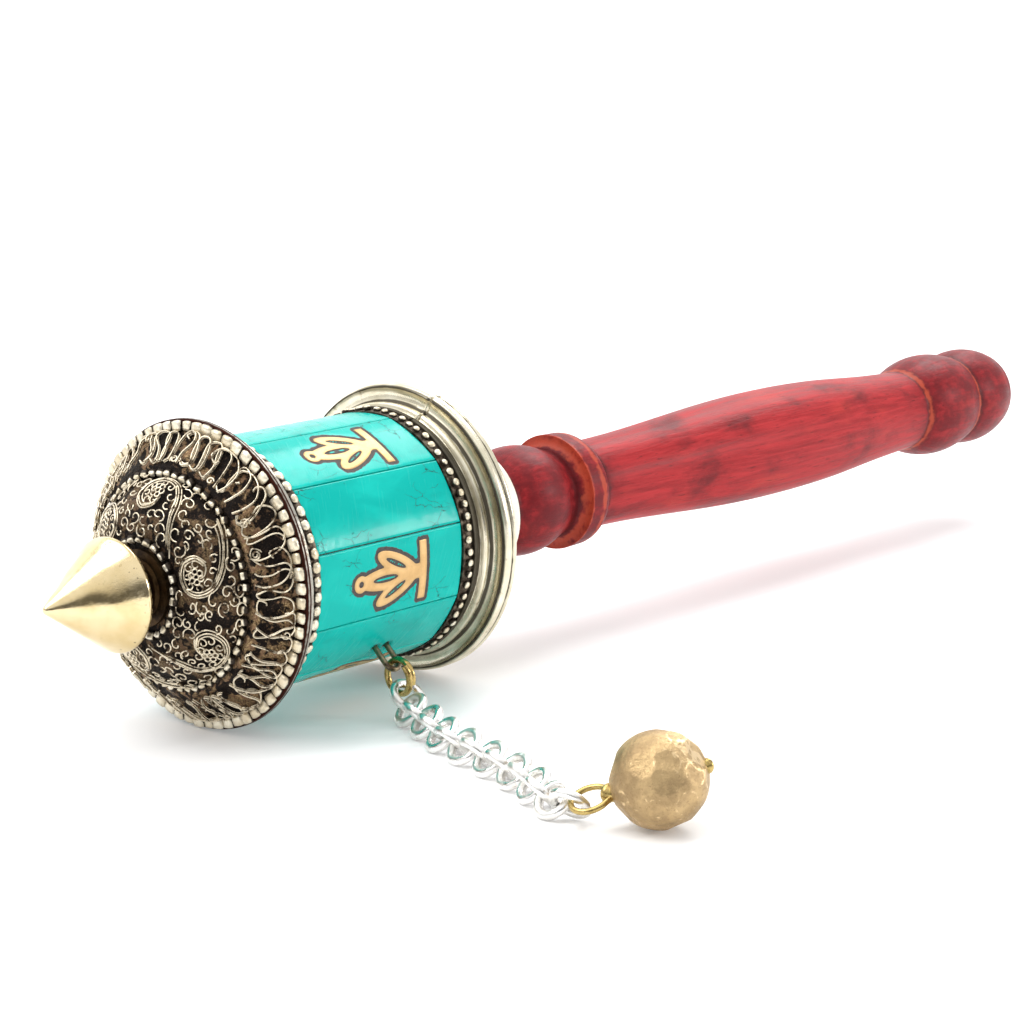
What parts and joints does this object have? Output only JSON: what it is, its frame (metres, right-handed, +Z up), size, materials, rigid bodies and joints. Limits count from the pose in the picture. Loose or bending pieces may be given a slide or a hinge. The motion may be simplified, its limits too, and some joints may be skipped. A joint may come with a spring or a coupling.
{
  "type": "prayer wheel",
  "caption": "Hand-held prayer wheel: turned wooden handle, spinning inlaid drum with filigree lid and cone finial, and a ball weight on a short chain.",
  "frame": {"origin": "on the table under the middle of the whole object, which lies on its side on the rims of its drum", "axes": "+X along the axle from the finial to the handle's butt, +Z up; the chain and its weight lie on the -Y side"},
  "size_m": [0.2706, 0.123, 0.052],
  "materials": {
    "red_stained_wood": "semi-gloss stain",
    "steel_rod": "drawn",
    "bone": "polished bone",
    "brass_polished": "polished",
    "brass_aged": "aged",
    "silver_antique": "antiqued, worn bright on high points",
    "blackened_metal": "blackened",
    "nickel_silver": "worn, dark patina in the grooves",
    "copper_sheet": "tarnished",
    "dark_resin": "matte filler",
    "brass_inlay": "satin",
    "turquoise": "polished, with dark specks",
    "paper": "rolled",
    "ribbon": "woven",
    "bronze_wire": "dark bronze",
    "brass_wire": "drawn wire",
    "silver_plated": "bright",
    "cast_brass": "hammered"
  },
  "bodies": {
    "handle": {"handle": "red_stained_wood", "axle_rod": "steel_rod", "bone_bush": "bone", "finial_washer": "brass_aged", "finial": "brass_polished"},
    "wheel": {"lid_plate": "silver_antique", "lid_cone": "blackened_metal", "dome": "blackened_metal", "upper_bush": "brass_aged", "rim_beads": "silver_antique", "dome_beads": "silver_antique", "collar_beads": "silver_antique", "cone_filigree": "silver_antique", "dome_filigree": "silver_antique", "upper_band": "blackened_metal", "lower_band": "blackened_metal", "upper_beads": "silver_antique", "lower_beads": "silver_antique", "drum_shell": "copper_sheet", "resin_bed": "dark_resin", "brass_inlays": "brass_inlay", "turquoise_strip_01": "turquoise", "turquoise_strip_02": "turquoise", "turquoise_strip_03": "turquoise", "turquoise_strip_04": "turquoise", "turquoise_strip_05": "turquoise", "turquoise_strip_06": "turquoise", "turquoise_strip_07": "turquoise", "turquoise_strip_08": "turquoise", "turquoise_strip_09": "turquoise", "turquoise_strip_10": "turquoise", "turquoise_strip_11": "turquoise", "turquoise_strip_12": "turquoise", "flange": "nickel_silver", "base_plate": "nickel_silver", "lower_bush": "brass_aged", "paper_roll": "paper", "paper_ribbon": "ribbon", "eyelet": "bronze_wire"},
    "jump_ring": {"jump_ring": "brass_wire"},
    "chain_link_01": {"chain_link_01": "silver_plated"},
    "chain_link_02": {"chain_link_02": "silver_plated"},
    "chain_link_03": {"chain_link_03": "silver_plated"},
    "chain_link_04": {"chain_link_04": "silver_plated"},
    "chain_link_05": {"chain_link_05": "silver_plated"},
    "chain_link_06": {"chain_link_06": "silver_plated"},
    "chain_link_07": {"chain_link_07": "silver_plated"},
    "chain_link_08": {"chain_link_08": "silver_plated"},
    "chain_link_09": {"chain_link_09": "silver_plated"},
    "chain_link_10": {"chain_link_10": "silver_plated"},
    "chain_link_11": {"chain_link_11": "silver_plated"},
    "chain_link_12": {"chain_link_12": "silver_plated"},
    "chain_link_13": {"chain_link_13": "silver_plated"},
    "chain_link_14": {"chain_link_14": "silver_plated"},
    "chain_link_15": {"chain_link_15": "silver_plated"},
    "chain_link_16": {"chain_link_16": "silver_plated"},
    "chain_link_17": {"chain_link_17": "silver_plated"},
    "weight": {"ball": "cast_brass", "eye_pin": "brass_wire"}
  },
  "joints": [
    {"name": "wheel_spin", "type": "hinge", "parent": "handle", "child": "wheel", "pos_m": [-0.10265, 0.03547, 0.026], "axis": [1, 0, 0], "continuous": true},
    {"name": "ring_swing", "type": "hinge", "parent": "wheel", "child": "jump_ring", "pos_m": [-0.07615, 0.0165, 0.00793], "axis": [1, 0, 0], "range_deg": [-30, 30]},
    {"name": "link_01_hinge", "type": "hinge", "parent": "jump_ring", "child": "chain_link_01", "pos_m": [-0.07615, 0.01364, 0.00452], "axis": [0, 0.766, -0.6428], "range_deg": [-35, 35]},
    {"name": "link_02_hinge", "type": "hinge", "parent": "chain_link_01", "child": "chain_link_02", "pos_m": [-0.0785, 0.01133, 0.00253], "axis": [-0.7918, 0.4319, 0.4319], "range_deg": [-35, 35]},
    {"name": "link_03_hinge", "type": "hinge", "parent": "chain_link_02", "child": "chain_link_03", "pos_m": [-0.08019, 0.00792, 0.00252], "axis": [-0.6332, 0.3147, -0.7071], "range_deg": [-35, 35]},
    {"name": "link_04_hinge", "type": "hinge", "parent": "chain_link_03", "child": "chain_link_04", "pos_m": [-0.08187, 0.00452, 0.00252], "axis": [0.6335, -0.314, -0.7071], "range_deg": [-35, 35]},
    {"name": "link_05_hinge", "type": "hinge", "parent": "chain_link_04", "child": "chain_link_05", "pos_m": [-0.08356, 0.00112, 0.00252], "axis": [0.6335, -0.314, 0.7071], "range_deg": [-35, 35]},
    {"name": "link_06_hinge", "type": "hinge", "parent": "chain_link_05", "child": "chain_link_06", "pos_m": [-0.08525, -0.00229, 0.00252], "axis": [-0.6335, 0.314, 0.7071], "range_deg": [-35, 35]},
    {"name": "link_07_hinge", "type": "hinge", "parent": "chain_link_06", "child": "chain_link_07", "pos_m": [-0.08694, -0.00569, 0.00252], "axis": [-0.6335, 0.314, -0.7071], "range_deg": [-35, 35]},
    {"name": "link_08_hinge", "type": "hinge", "parent": "chain_link_07", "child": "chain_link_08", "pos_m": [-0.08792, -0.00936, 0.00252], "axis": [0.6828, -0.1837, -0.7071], "range_deg": [-35, 35]},
    {"name": "link_09_hinge", "type": "hinge", "parent": "chain_link_08", "child": "chain_link_09", "pos_m": [-0.08891, -0.01303, 0.00252], "axis": [0.6828, -0.1837, 0.7071], "range_deg": [-35, 35]},
    {"name": "link_10_hinge", "type": "hinge", "parent": "chain_link_09", "child": "chain_link_10", "pos_m": [-0.0899, -0.0167, 0.00252], "axis": [-0.6828, 0.1837, 0.7071], "range_deg": [-35, 35]},
    {"name": "link_11_hinge", "type": "hinge", "parent": "chain_link_10", "child": "chain_link_11", "pos_m": [-0.0911, -0.02031, 0.00252], "axis": [-0.6706, 0.2242, -0.7071], "range_deg": [-35, 35]},
    {"name": "link_12_hinge", "type": "hinge", "parent": "chain_link_11", "child": "chain_link_12", "pos_m": [-0.09231, -0.02391, 0.00252], "axis": [0.6706, -0.2242, -0.7071], "range_deg": [-35, 35]},
    {"name": "link_13_hinge", "type": "hinge", "parent": "chain_link_12", "child": "chain_link_13", "pos_m": [-0.09351, -0.02751, 0.00252], "axis": [0.6706, -0.2242, 0.7071], "range_deg": [-35, 35]},
    {"name": "link_14_hinge", "type": "hinge", "parent": "chain_link_13", "child": "chain_link_14", "pos_m": [-0.09532, -0.03086, 0.00252], "axis": [-0.622, 0.3363, 0.7071], "range_deg": [-35, 35]},
    {"name": "link_15_hinge", "type": "hinge", "parent": "chain_link_14", "child": "chain_link_15", "pos_m": [-0.09713, -0.0342, 0.00252], "axis": [-0.622, 0.3363, -0.7071], "range_deg": [-35, 35]},
    {"name": "link_16_hinge", "type": "hinge", "parent": "chain_link_15", "child": "chain_link_16", "pos_m": [-0.09893, -0.03754, 0.00252], "axis": [0.622, -0.3363, -0.7071], "range_deg": [-35, 35]},
    {"name": "link_17_hinge", "type": "hinge", "parent": "chain_link_16", "child": "chain_link_17", "pos_m": [-0.09945, -0.04131, 0.00252], "axis": [0.7005, -0.0967, 0.7071], "range_deg": [-35, 35]},
    {"name": "weight_hinge", "type": "hinge", "parent": "chain_link_17", "child": "weight", "pos_m": [-0.09994, -0.04486, 0.00378], "axis": [-0.6471, 0.3319, 0.6864], "range_deg": [-35, 35]}
  ]
}
